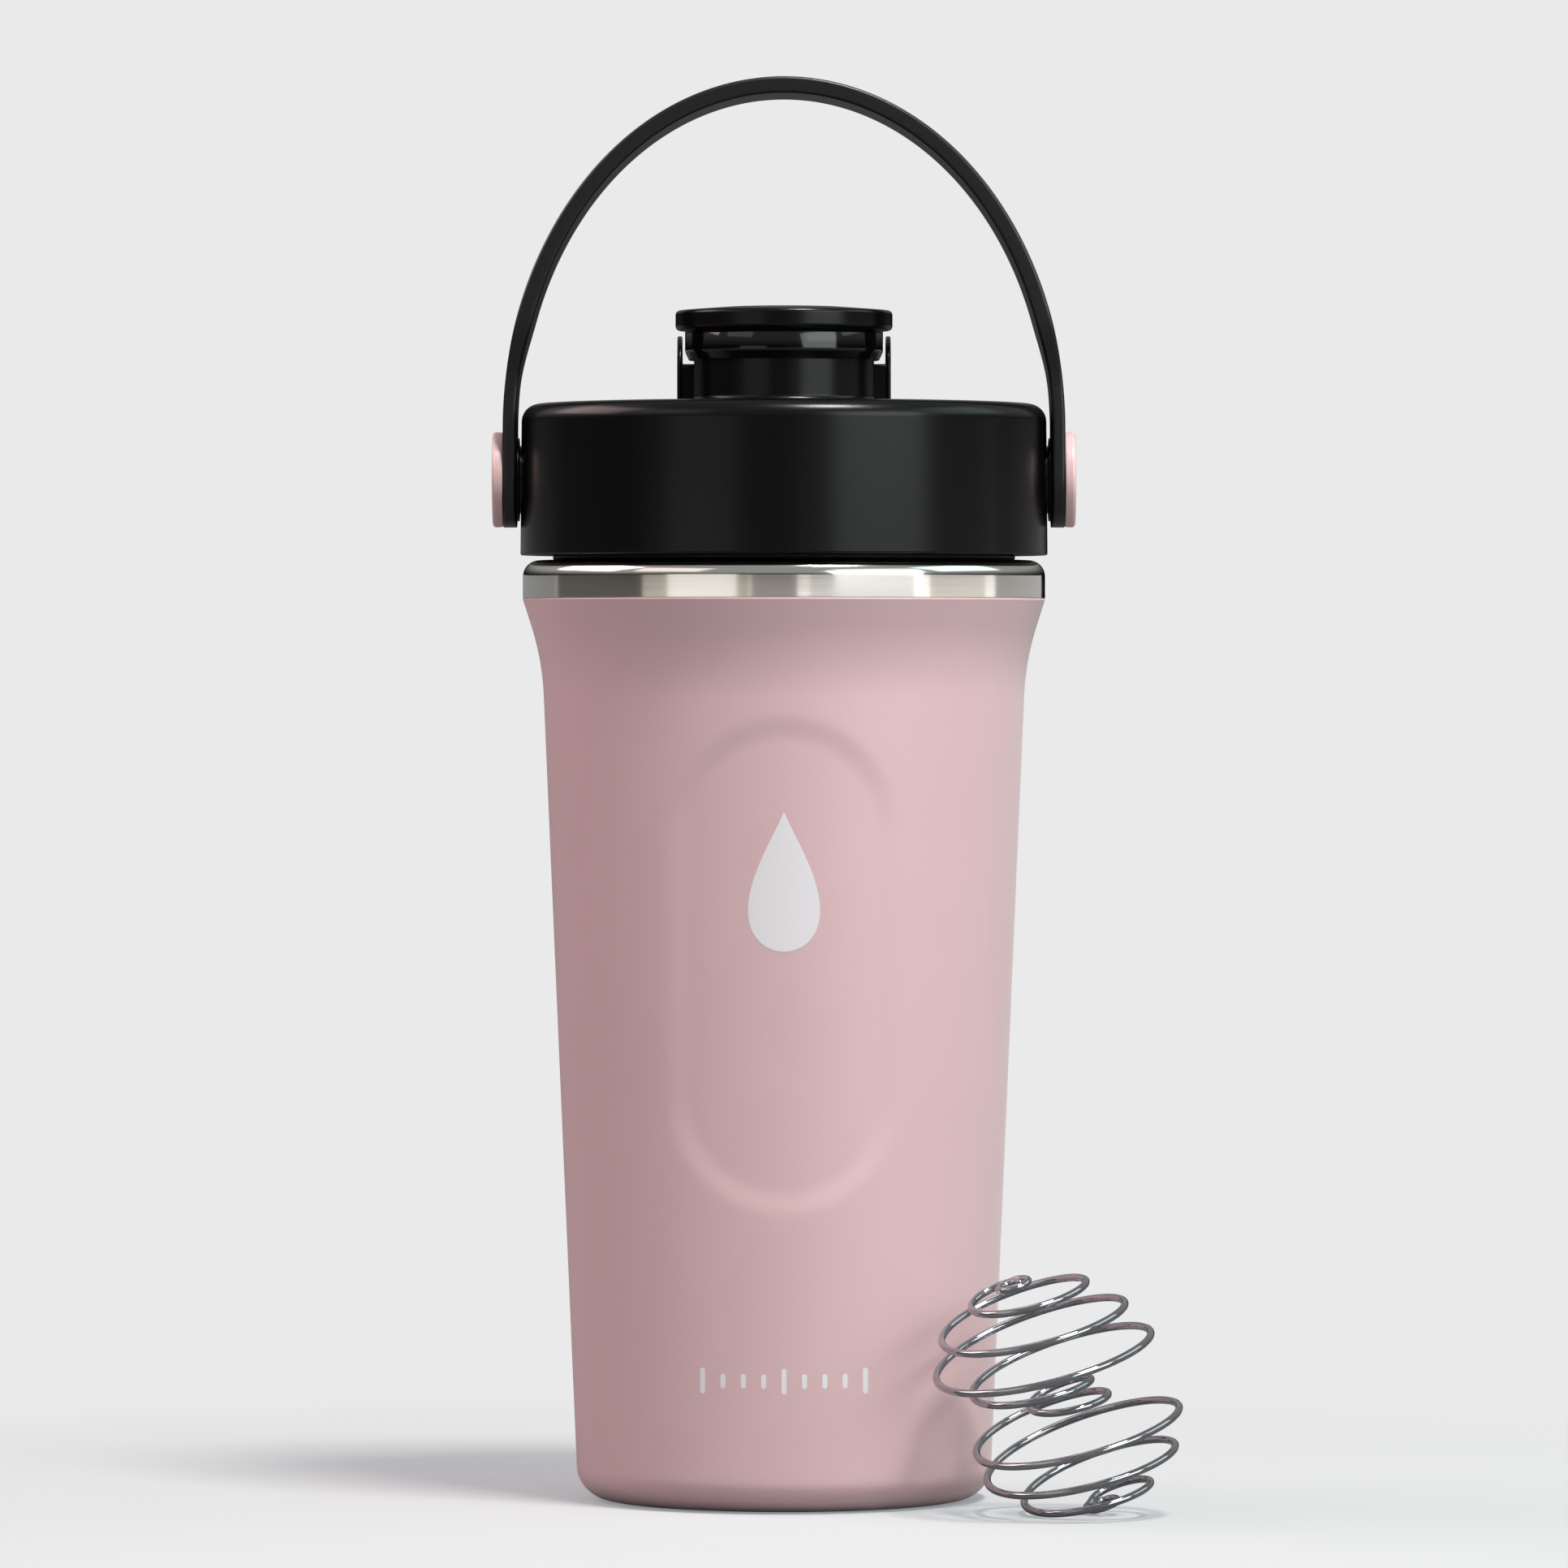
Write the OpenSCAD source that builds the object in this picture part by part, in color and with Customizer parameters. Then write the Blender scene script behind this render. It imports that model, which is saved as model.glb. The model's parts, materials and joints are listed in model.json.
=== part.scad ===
// Insulated protein shaker bottle with a screw lid, a flip cap, a carry strap and a loose
// wire whisk ball. The bottle stands on z = 0 with its front towards -Y.

/* [Body] */
// Outer radius of the body just above its base corner
base_r = 37.36; // [36:0.02:38]
// Half angle of the body's taper, in degrees
taper = 2.44; // [2.2:0.02:2.5]
// Radius of the rounded base corner
base_corner_r = 6; // [4:0.5:6.5]
// Height at which the shoulder starts to flare
flare_z = 144.5; // [143:0.5:145]
// Height at which the shoulder reaches its full angle
flare_top_z = 157; // [156:0.5:158]
// Angle of the shoulder where it meets the steel band, in degrees
flare_end = 17.6; // [17:0.1:18]
// Thickness of both steel walls
wall = 0.7; // [0.5:0.1:0.8]
// Vacuum gap between the two walls
jacket_gap = 2.1; // [2:0.1:2.4]
// Radius of the opening in the shell's underside
base_open_r = 29.5; // [28:0.5:30]

/* [Grip panel] */
// Width of each pressed-in panel
panel_w = 40; // [36:1:42]
// Height of each pressed-in panel
panel_h = 87; // [80:1:90]
// Height of the panel's centre
panel_z = 97; // [95:1:99]
// Depth of the panel
panel_depth = 0.5; // [0.4:0.1:1]

/* [Rim] */
// Height at which the coating ends and the bare steel band starts
band_z = 162; // [162:1:163]
// Outer radius of the steel band
band_r = 47; // [46.9:0.1:47.1]
// Height of the drinking rim
rim_z = 168.9; // [168.5:0.1:169]
// Inner radius of the mouth
mouth_r = 41; // [41:0.1:41.2]

/* [Screw thread] */
// Rise of the lid for each full turn
pitch = 6; // [6:0.5:6.5]
// Height of each thread ridge
ridge = 1.1; // [0.9:0.1:1.1]
// Length of the vessel's thread, in turns
vessel_turns = 1.4; // [1.2:0.1:1.4]
// Length of the lid's thread, in turns
lid_turns = 1.2; // [1:0.1:1.2]

/* [Lid] */
// Outer radius at the bottom of the lid's skirt
lid_r = 47.45; // [47.3:0.05:47.6]
// Height of the bottom of the skirt
lid_z = 169.8; // [169.8:0.1:170]
// Height of the deck
deck_z = 197; // [196:0.5:198]
// Rounding of the deck's edge
deck_corner_r = 3.2; // [2.5:0.1:3.5]
// Thickness of the skirt and the deck
lid_wall = 2.3; // [2:0.1:2.4]
// Outer radius of the threaded plug under the lid
plug_r = 39.5; // [39.4:0.1:39.6]
// Height of the plug's underside
plug_z = 154.2; // [154:0.1:155]

/* [Spout] */
// Distance of the spout in front of the lid's centre
spout_y = -13; // [-13.5:0.5:-12]
// Outer radius of the spout's neck
spout_r = 16.1; // [16:0.1:16.2]
// Radius of the spout's bore
spout_bore_r = 14; // [13.8:0.1:14.2]
// Height of the spout's rim
spout_z = 209.2; // [209:0.1:209.4]

/* [Flip cap] */
// Radius of the cap's disc
cap_r = 19.4; // [19.2:0.1:19.6]
// Height of the disc's underside
cap_z = 209.8; // [209.7:0.1:210]
// Thickness of the disc
cap_t = 4.5; // [4.3:0.1:4.7]
// Distance from the spout's axis back to the hinge pin
hinge_back = 24.6; // [24.4:0.1:25]
// Height of the hinge pin
hinge_z = 202.6; // [202.5:0.1:202.8]
// Radius of the hinge pin
pin_r = 1.5; // [1.4:0.1:1.6]

/* [Strap] */
// Height of the strap's pivots
pivot_z = 183.4; // [183:0.1:184]
// Half width inside the strap
strap_half = 48.05; // [48:0.05:48.2]
// Thickness of the strap at its pivots
strap_t = 2.4; // [2.2:0.05:2.6]
// Thickness of the strap's grip
grip_t = 3; // [2.6:0.1:3.2]
// Width of the strap at its pivots
strap_w = 17.3; // [16:0.1:18]
// Width of the strap's grip
grip_w = 23.6; // [20:0.1:23.8]
// Height at which the arch starts
arch_z = 192.4; // [191:0.1:194]
// Height of the top of the arch
arch_top = 255.4; // [254:0.1:257]
// Radius of the pink buttons
button_r = 8.6; // [8.2:0.1:8.8]

/* [Whisk] */
// Diameter of the whisk's wire
wire_d = 1.35; // [1.2:0.05:1.5]
// Height of the ball along its own axis
ball_h = 42.8; // [42:0.2:43]
// Largest radius of the ball's coil
ball_r = 21.1; // [20.5:0.1:21.2]
// Number of turns between the two eyelets
coil_turns = 8.2; // [8:0.1:8.4]

/* [Hidden] */

$fn = 96;
pink = [0.79, 0.63, 0.64];
coral = [0.92, 0.68, 0.67];
steel = [0.78, 0.77, 0.74];
satin_black = [0.07, 0.07, 0.07];
gloss_black = [0.03, 0.03, 0.03];
silicone = [0.16, 0.16, 0.17];
dull_grey = [0.55, 0.55, 0.56];

touch = 0.05;                         // gap between faces that move past each other
cut = 1;                              // how far a cutting shape runs past a face
tall = 10;                            // height of a cutting shape that runs out of a thin part

// Shoulder: an arc whose centre lies outside the body, then a straight cone
flare_r = (flare_top_z - flare_z) / (sin(flare_end) - sin(taper));
flare_start_r = base_r + (flare_z - base_corner_r) * tan(taper);
flare_steps = 8;
cone_length = (band_z - flare_top_z) / cos(flare_end);

// Vessel
liner_inset = wall + jacket_gap;      // from the coated surface to the liner's outside
liner_floor_z = 6.2;                  // underside of the liner
liner_corner_r = 7;
neck_z = 150;                         // where the straight, threaded neck starts
floor_z = 2.2;                        // underside of the jacket floor
floor_rim_r = 31.2;
seal_hole_r = 1.5;
seal_bead_t = 0.7;
getter_x = 12;
getter_r = 4.5;
getter_t = 2.2;
base_cap_t = 1.2;
base_groove_w = 2.3;
base_groove_t = 0.6;
lip_corner_r = 2.9;
lip_t = 0.8;
base_groove_r = 26;
mouth_step = 2;                       // the shell's mouth is opened from this far below the band

// Thread
ridge_root = 0.3;                     // how far a ridge is rooted in its wall
ridge_base_w = 2.6;
ridge_tip_w = 1.3;
vessel_thread_z = 156.2;
thread_segments = 36;

// Lid
plug_wall = 2;
plug_flange_z = 169.9;
plug_flange_t = 2.4;
plug_flange_r = lid_r - lid_wall - 0.35;
lid_draft = 0.25;                     // the skirt leans in by this much towards the deck
deck_fillet_r = 1.2;
spout_edge = 0.6;
spout_foot = 1.2;
deck_under_z = deck_z - lid_wall;
boss_r = 6.1;
boss_x = 47.6;                        // flat outer face of each strap boss
boss_inner_x = 39.5;
shank_r = 2.6;
shank_x = 40.5;                       // inner end of each button's shank
gasket_r = 41.6;

// Flip cap
hinge_y = spout_y + hinge_back;
ear_r = 7;
ear_root = 0.5;                       // how far the ears are rooted in the deck
ear_in = 16.2;
ear_step = 18.4;                      // above ear_step_z only the ear's outer plate goes on
ear_step_z = 204.4;
ear_out = 19.3;
arm_half = 15.7;
arm_drop = 1.2;                       // from the disc's top down to the arm's
arm_round_r = 13;
barrel_r = 4.6;
crown_r = 200;
cap_edge_r = 0.8;
seal_flange_r = 15.6;
seal_tip_r = 12.3;
seal_depth = 2.6;
seal_gap = 0.2;
skirt_z = 204.5;
skirt_top_r = 17.9;
skirt_bottom_r = 17;
skirt_bore_r = 16.5;

// Strap
bush_flange_r = 7.5;
bush_flange_t = 0.4;
bush_r = 3.6;
eye_r = bush_r + touch;
strap_bottom_z = pivot_z - strap_w / 2;
arch_steps = 44;
grip_low_z = 200;                     // the strap widens and thickens between these heights
grip_high_z = 213;
button_x = strap_half + strap_t + touch;
button_t = 1.9;
button_edge = 0.5;
button_groove_t = 0.6;

// Whisk
whisk_at = [48.3, -40, 21.45];
whisk_lean = [10.4, -17.2, 0];
ball_shear = -0.1;                    // sideways shift of the rings for each unit of height
eyelet_r = 3.4;
eyelet_turns = 1.25;
eyelet_spiral = 1.6;                  // change of radius for each turn of an eyelet
waist_h = 21.9;                       // depth of the inner loop below the top eyelet
waist_depth = 15.6;
waist_w = 4.1;
rise_swing = 0.86;                    // how far the pitch swings about its mean
coil_phase = -0.3;                    // turns before the coil first passes the left side
wire_sides = 8;
rings_per_turn = 24;

// Points of an arc in a profile, from angle a to angle b
function arc(x, z, r, a, b, n = 8) =
    [for (i = [0:n]) let (t = a + (b - a) * i / n) [x + r * cos(t), z + r * sin(t)]];

// Radius of the coated body at a height on its straight taper
function taper_r(z) = base_r + (z - base_corner_r) * tan(taper);

// Outline of the body, moved inwards by inset
function body_outline(inset) =
    let (corner_x = base_r - base_corner_r,
         flare_x = flare_start_r + flare_r * cos(taper),
         flare_c_z = flare_z - flare_r * sin(taper))
    concat(
        [[0, inset]],
        arc(corner_x, base_corner_r, base_corner_r - inset, -90, -taper),
        [for (i = [0:flare_steps])
            let (t = taper + (flare_end - taper) * i / flare_steps)
            [flare_x - (flare_r + inset) * cos(t), flare_c_z + (flare_r + inset) * sin(t)]],
        [[flare_x - (flare_r + inset) * cos(flare_end) + cone_length * sin(flare_end),
          flare_c_z + (flare_r + inset) * sin(flare_end) + cone_length * cos(flare_end)],
         [0, band_z + inset]]);

// Swept solid through rings of points; every ring has the same number of points
module swept(rings) {
    n = len(rings[0]);
    last = len(rings) - 1;
    polyhedron(
        points = [for (ring = rings) each ring],
        faces = concat(
            [[for (i = [n - 1:-1:0]) i]],
            [for (k = [0:last - 1], i = [0:n - 1]) let (j = (i + 1) % n)
                [k * n + i, k * n + j, (k + 1) * n + j, (k + 1) * n + i]],
            [[for (i = [0:n - 1]) last * n + i]]),
        convexity = 10);
}

// One helical ridge from a root radius to a tip radius, starting at height z
module thread_ridge(root_r, tip_r, z, turns) {
    steps = round(turns * thread_segments);
    way = tip_r > root_r ? 1 : -1;
    half = [-ridge_base_w / 2, -ridge_tip_w / 2, ridge_tip_w / 2, ridge_base_w / 2];
    radius = [root_r, tip_r, tip_r, root_r];
    order = way > 0 ? [0, 1, 2, 3] : [3, 2, 1, 0];
    swept([for (k = [0:steps]) let (a = 360 * k / thread_segments, rise = z + pitch * a / 360)
        [for (i = order) [radius[i] * cos(a), radius[i] * sin(a), rise + half[i]]]]);
}

// Upright slab with round ends, the plan of a grip panel
module stadium(w, h) {
    for (side = [-1, 1]) translate([0, side * (h - w) / 2]) circle(d = w);
    square([w, h - w], center = true);
}

// Solid body with its two panels pressed in
module body_form(inset) {
    rotate_extrude() polygon(body_outline(inset + panel_depth));
    difference() {
        rotate_extrude() polygon(body_outline(inset));
        translate([0, base_r * 2, panel_z]) rotate([90, 0, 0])
            linear_extrude(base_r * 4) stadium(panel_w + 2 * inset, panel_h + 2 * inset);
    }
}

module outer_shell() {
    color(pink) difference() {
        body_form(0);
        body_form(wall);
        translate([0, 0, -cut]) cylinder(r = base_open_r, h = wall + 2 * cut);
        translate([0, 0, band_z]) cylinder(r = band_r + cut, h = tall);
        translate([0, 0, band_z - mouth_step]) cylinder(r = flare_start_r, h = tall);
    }
}

module rim_band() {
    shoulder = arc(band_r - lip_corner_r, rim_z - lip_corner_r, lip_corner_r, 0, 90);
    inner = arc(band_r - lip_corner_r, rim_z - lip_corner_r, lip_corner_r - lip_t, 90, 0);
    color(steel) rotate_extrude() polygon(concat(
        [[band_r, band_z]], shoulder, [[mouth_r, rim_z], [mouth_r, rim_z - lip_t]],
        inner, [[band_r - lip_t, band_z]]));
}

// Outline of the liner; grow 0 is its inside and grow = wall its outside
function liner_outline(grow) =
    let (r0 = taper_r(liner_floor_z) - liner_inset - wall + grow,
         z0 = liner_floor_z + wall - grow,
         corner = liner_corner_r + grow)
    concat(
        [[0, z0]],
        arc(r0 - corner, z0 + corner, corner, -90, -taper),
        [[flare_start_r - liner_inset - wall + grow, flare_z],
         [mouth_r + grow, neck_z]]);

module inner_liner() {
    top_z = rim_z - lip_t;
    color(steel) {
        rotate_extrude() polygon(concat(
            liner_outline(wall), [[mouth_r + wall, top_z], [mouth_r, top_z]],
            [for (i = [len(liner_outline(0)) - 1:-1:0]) liner_outline(0)[i]]));
        thread_ridge(mouth_r + ridge_root, mouth_r - ridge, vessel_thread_z, vessel_turns);
    }
}

module jacket_floor() {
    color(steel) difference() {
        rotate_extrude() polygon([
            [0, floor_z], [floor_rim_r - wall, floor_z], [floor_rim_r - wall, wall],
            [floor_rim_r, wall], [floor_rim_r, floor_z + wall], [0, floor_z + wall]]);
        translate([0, 0, floor_z - cut]) cylinder(r = seal_hole_r, h = wall + 2 * cut);
    }
}

module vacuum_seal() {
    color(steel) {
        translate([0, 0, floor_z]) cylinder(r = seal_hole_r, h = wall);
        translate([0, 0, floor_z - seal_bead_t])
            cylinder(r1 = seal_hole_r + 0.5, r2 = 2 * seal_hole_r, h = seal_bead_t);
    }
}

module getter() {
    color(dull_grey) translate([getter_x, 0, floor_z + wall])
        cylinder(r = getter_r, h = getter_t);
}

// Stamped disc: a flat middle that carries the bottle, inside a shallow groove
module base_cap() {
    color(pink) difference() {
        cylinder(r = base_open_r, h = base_cap_t);
        difference() {
            translate([0, 0, -cut])
                cylinder(r = base_groove_r + base_groove_w, h = base_groove_t + cut);
            translate([0, 0, -2 * cut]) cylinder(r = base_groove_r, h = tall);
        }
    }
}

// Profile of the lid's skirt and deck
module lid_profile() {
    top_r = lid_r - lid_draft;
    inner_r = lid_r - lid_wall;
    polygon(concat(
        [[lid_r, lid_z]],
        arc(top_r - deck_corner_r, deck_z - deck_corner_r, deck_corner_r, 0, 90),
        [[0, deck_z], [0, deck_under_z]],
        arc(inner_r - deck_fillet_r, deck_under_z - deck_fillet_r, deck_fillet_r, 90, 0, 4),
        [[inner_r, lid_z]]));
}

// Plan of one hinge ear, seen along the pin, up to a height
module ear_plan(top) {
    foot_z = deck_z - ear_root;
    intersection() {
        union() {
            translate([hinge_y, hinge_z]) circle(r = ear_r);
            translate([hinge_y - ear_r, foot_z]) square([2 * ear_r, hinge_z - foot_z]);
        }
        translate([hinge_y - ear_r, foot_z]) square([2 * ear_r, top - foot_z]);
    }
}

// Extrudes a side view (Y, Z) along X, between two distances from the middle
module across(x0, x1) {
    translate([x0, 0, 0]) rotate([90, 0, 90]) linear_extrude(x1 - x0) children();
}

module lid_shell() {
    color(satin_black) difference() {
        union() {
            rotate_extrude() lid_profile();
            translate([0, spout_y, deck_under_z])
                cylinder(r = spout_r, h = spout_z - deck_under_z - spout_edge);
            translate([0, spout_y, spout_z - spout_edge])
                cylinder(r1 = spout_r, r2 = spout_r - spout_edge, h = spout_edge);
            translate([0, spout_y, deck_z - ear_root])
                cylinder(r1 = spout_r + spout_foot, r2 = spout_r, h = spout_foot);
            across(ear_in, ear_out) ear_plan(ear_step_z);
            across(-ear_out, -ear_in) ear_plan(ear_step_z);
            across(ear_step, ear_out) ear_plan(hinge_z + ear_r);
            across(-ear_out, -ear_step) ear_plan(hinge_z + ear_r);
            for (side = [0, 180]) rotate([0, 0, side]) {
                translate([boss_inner_x, 0, pivot_z]) rotate([0, 90, 0])
                    cylinder(r = boss_r, h = boss_x - boss_inner_x);
            }
        }
        translate([0, spout_y, deck_under_z - cut])
            cylinder(r = spout_bore_r, h = spout_z - deck_under_z + 2 * cut);
        translate([-ear_out - cut, hinge_y, hinge_z]) rotate([0, 90, 0])
            cylinder(r = pin_r, h = 2 * (ear_out + cut));
        for (side = [0, 180]) rotate([0, 0, side])
            translate([shank_x, 0, pivot_z]) rotate([0, 90, 0])
                cylinder(r = shank_r, h = boss_x);
    }
}

// Threaded inner cup, welded inside the shell, with a throat that leads to the spout
module lid_plug() {
    color(satin_black) difference() {
        union() {
            translate([0, 0, plug_z]) cylinder(r = plug_r, h = plug_flange_z - plug_z);
            translate([0, 0, plug_flange_z]) cylinder(r = plug_flange_r, h = plug_flange_t);
            thread_ridge(plug_r - ridge_root, plug_r + ridge,
                         vessel_thread_z + pitch / 2, lid_turns);
        }
        difference() {
            translate([0, 0, plug_z + plug_wall])
                cylinder(r = plug_r - plug_wall, h = plug_flange_z);
            translate([0, spout_y, plug_z])
                cylinder(r = spout_r, h = deck_under_z - plug_z);
        }
        translate([0, spout_y, plug_z - cut]) cylinder(r = spout_bore_r, h = deck_z);
    }
    color(satin_black) difference() {
        translate([0, spout_y, plug_flange_z])
            cylinder(r = spout_r, h = deck_under_z - plug_flange_z);
        translate([0, spout_y, plug_z]) cylinder(r = spout_bore_r, h = deck_z);
    }
}

module lid_gasket() {
    color(silicone) translate([0, 0, rim_z + touch]) difference() {
        cylinder(r = gasket_r, h = plug_flange_z - rim_z - 2 * touch);
        translate([0, 0, -cut]) cylinder(r = plug_r + touch, h = tall);
    }
}

module cap_hinge_pin() {
    color(steel) translate([-ear_out, hinge_y, hinge_z]) rotate([0, 90, 0])
        cylinder(r = pin_r, h = 2 * ear_out);
}

// Side view of the arm that joins the disc to the hinge barrel
module arm_plan() {
    top_z = cap_z + cap_t - arm_drop;
    translate([hinge_y, hinge_z]) circle(r = barrel_r);
    polygon(concat(
        [[hinge_y - barrel_r, hinge_z], [hinge_y - barrel_r, cap_z], [spout_y, cap_z],
         [spout_y, top_z]],
        arc(hinge_y + barrel_r - arm_round_r, top_z - arm_round_r, arm_round_r, 90, 8, 8),
        [[hinge_y, hinge_z]]));
}

module cap_cover() {
    edge_x = cap_r - cap_edge_r;
    crown_angle = 90 - acos(edge_x / crown_r);
    crown_z = cap_z + cap_t - crown_r;
    edge_z = crown_z + crown_r * cos(crown_angle) - cap_edge_r;
    color(satin_black) difference() {
        union() {
            translate([0, spout_y, 0]) rotate_extrude() polygon(concat(
                [[0, cap_z]],
                arc(edge_x, cap_z + cap_edge_r, cap_edge_r, -90, 0, 5),
                arc(edge_x, edge_z, cap_edge_r, 0, 80, 5),
                arc(0, crown_z, crown_r, 90 - crown_angle, 90, 4)));
            across(-arm_half, arm_half) arm_plan();
        }
        translate([-ear_out, hinge_y, hinge_z]) rotate([0, 90, 0])
            cylinder(r = pin_r + touch, h = 2 * ear_out);
    }
}

module cap_skirt() {
    color(gloss_black) translate([0, spout_y, skirt_z]) difference() {
        cylinder(r1 = skirt_bottom_r, r2 = skirt_top_r, h = cap_z - skirt_z);
        translate([0, 0, -cut]) cylinder(r = skirt_bore_r, h = tall);
    }
}

module cap_seal() {
    color(silicone) translate([0, spout_y, 0]) {
        translate([0, 0, spout_z + seal_gap])
            cylinder(r = seal_flange_r, h = cap_z - spout_z - seal_gap);
        translate([0, 0, spout_z - seal_depth])
            cylinder(r1 = seal_tip_r, r2 = spout_bore_r - 0.35, h = seal_depth + seal_gap);
    }
}

// Thickness of the strap at a height
function strap_thickness(z) =
    let (s = min(1, max(0, (z - grip_low_z) / (grip_high_z - grip_low_z))))
    strap_t + (grip_t - strap_t) * s * s * (3 - 2 * s);

// Point of the strap's outer or inner face at angle t round the arch's centre
function strap_point(t, inside) =
    let (a = strap_half + strap_t, b = arch_top - arch_z,
         p = [a * cos(t), arch_z + b * sin(t)],
         n = [cos(t) / a, sin(t) / b])
    inside ? p - strap_thickness(p[1]) * n / norm(n) : p;

// Side view of the strap: round at the pivots, and wider in the grip
module strap_plan() {
    w = strap_w / 2;
    g = grip_w / 2;
    translate([0, pivot_z]) circle(r = w);
    polygon([[-w, pivot_z], [w, pivot_z], [w, grip_low_z], [g, grip_high_z],
             [g, arch_top + cut], [-g, arch_top + cut], [-g, grip_high_z], [-w, grip_low_z]]);
}

module carry_strap() {
    outer = strap_half + strap_t;
    color(gloss_black) difference() {
        intersection() {
            rotate([90, 0, 0]) linear_extrude(grip_w + 2 * cut, center = true) polygon(concat(
                [[outer, strap_bottom_z]],
                [for (i = [0:arch_steps]) strap_point(180 * i / arch_steps, false)],
                [[-outer, strap_bottom_z], [-strap_half, strap_bottom_z]],
                [for (i = [arch_steps:-1:0]) strap_point(180 * i / arch_steps, true)],
                [[strap_half, strap_bottom_z]]));
            across(-outer - cut, outer + cut) strap_plan();
        }
        translate([-outer - cut, 0, pivot_z]) rotate([0, 90, 0])
            cylinder(r = eye_r, h = 2 * (outer + cut));
    }
}

// Places a part that is modelled pointing along +X at one side of the lid
module at_pivot(side) {
    rotate([0, 0, side > 0 ? 0 : 180]) translate([0, 0, pivot_z]) rotate([0, 90, 0]) children();
}

module pivot_bush(side) {
    color(satin_black) at_pivot(side) difference() {
        union() {
            translate([0, 0, boss_x]) cylinder(r = bush_flange_r, h = bush_flange_t);
            translate([0, 0, boss_x]) cylinder(r = bush_r, h = button_x - boss_x);
        }
        cylinder(r = shank_r, h = button_x + cut);
    }
}

module pivot_button(side) {
    color(coral) at_pivot(side) difference() {
        union() {
            translate([0, 0, shank_x]) cylinder(r = shank_r, h = button_x - shank_x + cut / 2);
            translate([0, 0, button_x]) cylinder(r = button_r, h = button_t - button_edge);
            translate([0, 0, button_x + button_t - button_edge])
                cylinder(r1 = button_r, r2 = button_r - button_edge, h = button_edge);
        }
        translate([0, 0, button_x + button_t - button_groove_t]) difference() {
            cylinder(r = button_r - 1.6, h = tall);
            translate([0, 0, -cut]) cylinder(r = button_r - 4.2, h = 2 * tall);
        }
    }
}

module pivot_bush_left() { pivot_bush(-1); }
module pivot_bush_right() { pivot_bush(1); }
module pivot_button_left() { pivot_button(-1); }
module pivot_button_right() { pivot_button(1); }

// Radius of the whisk's coil at a share s of its turns and a depth h below its top eyelet:
// a ball with a narrow waist
function coil_r(s, h) = max(eyelet_r,
    ball_r * sqrt(1 - pow(1 - 2 * s, 2))
    - waist_depth * exp(-pow(abs(h - waist_h) / waist_w, 3)));

// Point of the wire after t turns; it descends from a flat eyelet, through the ball, to another
function wire_point(t) =
    let (s = min(max(t, 0), coil_turns) / coil_turns,
         h = ball_h * s - rise_swing * sin(720 * s),
         past = max(-t, t - coil_turns, 0),
         r = past > 0 ? eyelet_r - eyelet_spiral * past : coil_r(s, h),
         a = 180 + 360 * (t + coil_phase),
         z = ball_h / 2 - h)
    [r * cos(a) + ball_shear * z, r * sin(a), z];

module whisk_ball() {
    first = -eyelet_turns;
    last = coil_turns + eyelet_turns;
    rings = round((last - first) * rings_per_turn);
    step = (last - first) / rings;
    color(steel) translate(whisk_at) rotate(whisk_lean)
        swept([for (k = [0:rings])
            let (p = wire_point(first + k * step),
                 ahead = wire_point(first + k * step + step / 2)
                         - wire_point(first + k * step - step / 2),
                 along = ahead / norm(ahead),
                 side_v = cross(along, [0, 0, 1]),
                 side = side_v / norm(side_v),
                 up = cross(side, along))
            [for (i = [0:wire_sides - 1]) let (a = 360 * i / wire_sides)
                p + wire_d / 2 * (cos(a) * side + sin(a) * up)]]);
}

outer_shell();
rim_band();
inner_liner();
jacket_floor();
vacuum_seal();
getter();
base_cap();
lid_shell();
lid_plug();
lid_gasket();
cap_hinge_pin();
cap_cover();
cap_skirt();
cap_seal();
carry_strap();
pivot_bush_left();
pivot_bush_right();
pivot_button_left();
pivot_button_right();
whisk_ball();
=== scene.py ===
import json
import math

import bmesh
import bpy
import numpy as np
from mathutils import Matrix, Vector


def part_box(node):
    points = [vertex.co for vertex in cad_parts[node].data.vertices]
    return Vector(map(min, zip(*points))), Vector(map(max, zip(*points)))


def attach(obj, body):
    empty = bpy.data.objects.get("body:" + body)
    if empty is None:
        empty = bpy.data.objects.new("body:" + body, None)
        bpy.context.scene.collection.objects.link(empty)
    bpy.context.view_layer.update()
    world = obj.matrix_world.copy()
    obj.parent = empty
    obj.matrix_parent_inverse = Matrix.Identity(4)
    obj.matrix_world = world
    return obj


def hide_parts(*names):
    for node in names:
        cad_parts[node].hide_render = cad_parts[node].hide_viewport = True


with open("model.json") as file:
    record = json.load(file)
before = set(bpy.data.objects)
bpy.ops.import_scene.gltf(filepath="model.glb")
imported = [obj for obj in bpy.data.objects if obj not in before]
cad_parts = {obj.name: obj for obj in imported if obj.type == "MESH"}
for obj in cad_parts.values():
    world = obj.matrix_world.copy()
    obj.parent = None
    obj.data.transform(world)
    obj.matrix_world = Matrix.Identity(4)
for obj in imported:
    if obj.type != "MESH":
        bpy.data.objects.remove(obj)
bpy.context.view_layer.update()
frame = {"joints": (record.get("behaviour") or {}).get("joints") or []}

MM = 0.001
TURN = 2 * math.pi

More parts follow.
